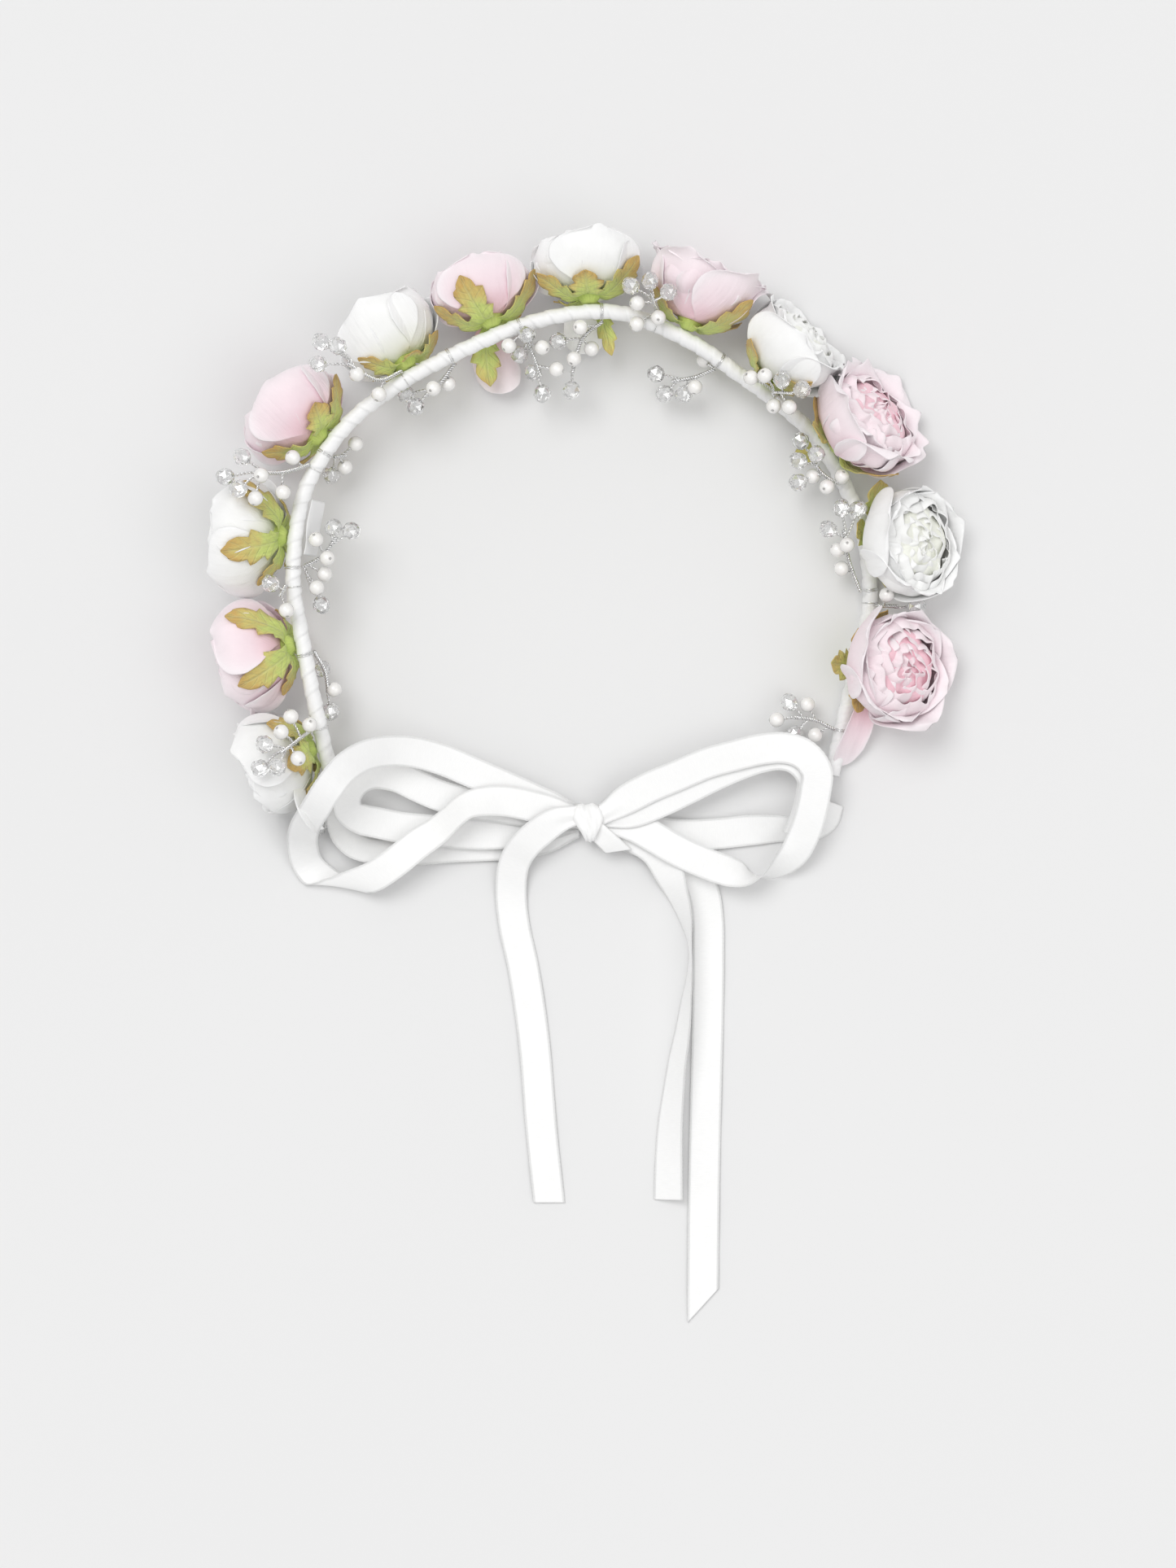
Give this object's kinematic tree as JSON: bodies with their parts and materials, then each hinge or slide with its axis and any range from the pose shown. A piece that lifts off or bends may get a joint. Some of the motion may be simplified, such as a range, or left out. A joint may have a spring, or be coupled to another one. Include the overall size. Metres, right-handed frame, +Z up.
{
  "type": "flower crown",
  "caption": "Child's flower crown: ribbon-wrapped wire band with pink and white fabric flowers in green calyxes, pearl and crystal wire sprigs, and a white satin bow with tails.",
  "frame": {"origin": "on the table under the middle of the crown's flowers and sprigs, without the ribbon bow and tails", "axes": "+X across the crown from its left side to its right side as it lies with the bow towards the viewer, +Y from the bow to the far side, +Z up from the table"},
  "size_m": [0.2433, 0.3558, 0.044],
  "materials": {
    "satin_ribbon": "satin",
    "petal_white": "matte",
    "petal_pink": "matte",
    "calyx_green": "matte",
    "spring_steel": "satin",
    "silver_and_beads": "polished",
    "label_white": "matte"
  },
  "bodies": {
    "crown": {"band_core_wire": "spring_steel", "band_satin_wrap": "satin_ribbon", "label_tape": "label_white", "calyx_01": "calyx_green", "flower_01_white_petals": "petal_white", "calyx_02": "calyx_green", "flower_02_pink_petals": "petal_pink", "calyx_03": "calyx_green", "flower_03_white_petals": "petal_white", "calyx_04": "calyx_green", "flower_04_pink_petals": "petal_pink", "calyx_05": "calyx_green", "flower_05_white_petals": "petal_white", "calyx_06": "calyx_green", "flower_06_pink_petals": "petal_pink", "calyx_07": "calyx_green", "flower_07_white_petals": "petal_white", "calyx_08": "calyx_green", "flower_08_pink_petals": "petal_pink", "calyx_09": "calyx_green", "flower_09_white_petals": "petal_white", "calyx_10": "calyx_green", "flower_10_pink_petals": "petal_pink", "calyx_11": "calyx_green", "flower_11_white_petals": "petal_white", "calyx_12": "calyx_green", "flower_12_pink_petals": "petal_pink", "ribbon_left_outer_loop": "satin_ribbon", "ribbon_left_inner_loop": "satin_ribbon", "ribbon_left_tie": "satin_ribbon", "ribbon_right_outer_loop": "satin_ribbon", "ribbon_right_inner_loop": "satin_ribbon", "ribbon_right_tie": "satin_ribbon", "ribbon_left_tail": "satin_ribbon", "ribbon_middle_tail": "satin_ribbon", "ribbon_right_tail": "satin_ribbon", "ribbon_knot": "satin_ribbon"},
    "sprig_a": {"bead_sprig_a": "silver_and_beads"},
    "sprig_b": {"bead_sprig_b": "silver_and_beads"},
    "sprig_c": {"bead_sprig_c": "silver_and_beads"},
    "sprig_d": {"bead_sprig_d": "silver_and_beads"},
    "sprig_e": {"bead_sprig_e": "silver_and_beads"},
    "sprig_f": {"bead_sprig_f": "silver_and_beads"},
    "sprig_g": {"bead_sprig_g": "silver_and_beads"},
    "sprig_h": {"bead_sprig_h": "silver_and_beads"},
    "sprig_i": {"bead_sprig_i": "silver_and_beads"},
    "sprig_j": {"bead_sprig_j": "silver_and_beads"},
    "sprig_k": {"bead_sprig_k": "silver_and_beads"},
    "sprig_l": {"bead_sprig_l": "silver_and_beads"},
    "sprig_m": {"bead_sprig_m": "silver_and_beads"},
    "sprig_n": {"bead_sprig_n": "silver_and_beads"},
    "sprig_o": {"bead_sprig_o": "silver_and_beads"},
    "sprig_p": {"bead_sprig_p": "silver_and_beads"},
    "sprig_q": {"bead_sprig_q": "silver_and_beads"},
    "sprig_r": {"bead_sprig_r": "silver_and_beads"}
  },
  "joints": [
    {"name": "sprig_a_bend", "type": "hinge", "parent": "crown", "child": "sprig_a", "pos_m": [-0.0585, 0.0539, 0.0247], "axis": [0.8559, 0.5168, -0.0201], "range_deg": [-15, 30]},
    {"name": "sprig_b_bend", "type": "hinge", "parent": "crown", "child": "sprig_b", "pos_m": [-0.0412, 0.0567, 0.0211], "axis": [-0.8994, -0.4367, 0.0167], "range_deg": [-15, 30]},
    {"name": "sprig_c_bend", "type": "hinge", "parent": "crown", "child": "sprig_c", "pos_m": [-0.0885, 0.0235, 0.0251], "axis": [0.4994, 0.8664, 0], "range_deg": [-9, 30]},
    {"name": "sprig_d_bend", "type": "hinge", "parent": "crown", "child": "sprig_d", "pos_m": [-0.0807, 0.0262, 0.0191], "axis": [-0.5617, -0.8274, -0.0034], "range_deg": [-15, 30]},
    {"name": "sprig_e_bend", "type": "hinge", "parent": "crown", "child": "sprig_e", "pos_m": [-0.0902, -0.0093, 0.0206], "axis": [-0.0297, -0.9995, -0.0128], "range_deg": [-15, 30]},
    {"name": "sprig_f_bend", "type": "hinge", "parent": "crown", "child": "sprig_f", "pos_m": [-0.0961, -0.0158, 0.0255], "axis": [-0.0583, 0.9981, 0.021], "range_deg": [-15, 30]},
    {"name": "sprig_g_bend", "type": "hinge", "parent": "crown", "child": "sprig_g", "pos_m": [-0.0872, -0.0368, 0.0201], "axis": [0.1817, -0.9817, -0.0564], "range_deg": [-15, 30]},
    {"name": "sprig_h_bend", "type": "hinge", "parent": "crown", "child": "sprig_h", "pos_m": [-0.0879, -0.0625, 0.0215], "axis": [-0.2132, 0.9652, 0.1512], "range_deg": [-4, 30]},
    {"name": "sprig_i_bend", "type": "hinge", "parent": "crown", "child": "sprig_i", "pos_m": [-0.0843, -0.0773, 0.0131], "axis": [-0.2325, 0.9189, 0.3188], "range_deg": [0, 10]},
    {"name": "sprig_j_bend", "type": "hinge", "parent": "crown", "child": "sprig_j", "pos_m": [0.0067, 0.0703, 0.0196], "axis": [-0.999, 0.007, 0.0444], "range_deg": [-15, 10]},
    {"name": "sprig_k_bend", "type": "hinge", "parent": "crown", "child": "sprig_k", "pos_m": [-0.0187, 0.0661, 0.0206], "axis": [-0.9502, -0.3113, 0.0151], "range_deg": [-15, 1]},
    {"name": "sprig_l_bend", "type": "hinge", "parent": "crown", "child": "sprig_l", "pos_m": [0.0258, 0.0717, 0.0201], "axis": [0.9173, -0.3823, -0.1115], "range_deg": [-2, 7]},
    {"name": "sprig_m_bend", "type": "hinge", "parent": "crown", "child": "sprig_m", "pos_m": [0.0432, 0.0551, 0.0151], "axis": [-0.7997, 0.5763, 0.1685], "range_deg": [-15, 30]},
    {"name": "sprig_n_bend", "type": "hinge", "parent": "crown", "child": "sprig_n", "pos_m": [0.0641, 0.0455, 0.0157], "axis": [0.7812, -0.5953, -0.1882], "range_deg": [0, 30]},
    {"name": "sprig_o_bend", "type": "hinge", "parent": "crown", "child": "sprig_o", "pos_m": [0.0838, 0.0177, 0.0106], "axis": [-0.4551, 0.8803, 0.1338], "range_deg": [-15, 4]},
    {"name": "sprig_p_bend", "type": "hinge", "parent": "crown", "child": "sprig_p", "pos_m": [0.0908, -0.0173, 0.0089], "axis": [-0.0131, 0.9991, 0.0396], "range_deg": [-15, 4]},
    {"name": "sprig_q_bend", "type": "hinge", "parent": "crown", "child": "sprig_q", "pos_m": [0.0968, -0.0218, 0.0093], "axis": [-0.0664, -0.9969, -0.0412], "range_deg": [-5, 12]},
    {"name": "sprig_r_bend", "type": "hinge", "parent": "crown", "child": "sprig_r", "pos_m": [0.0826, -0.0623, 0.0066], "axis": [0.2174, 0.9756, -0.0316], "range_deg": [0, 20]}
  ]
}
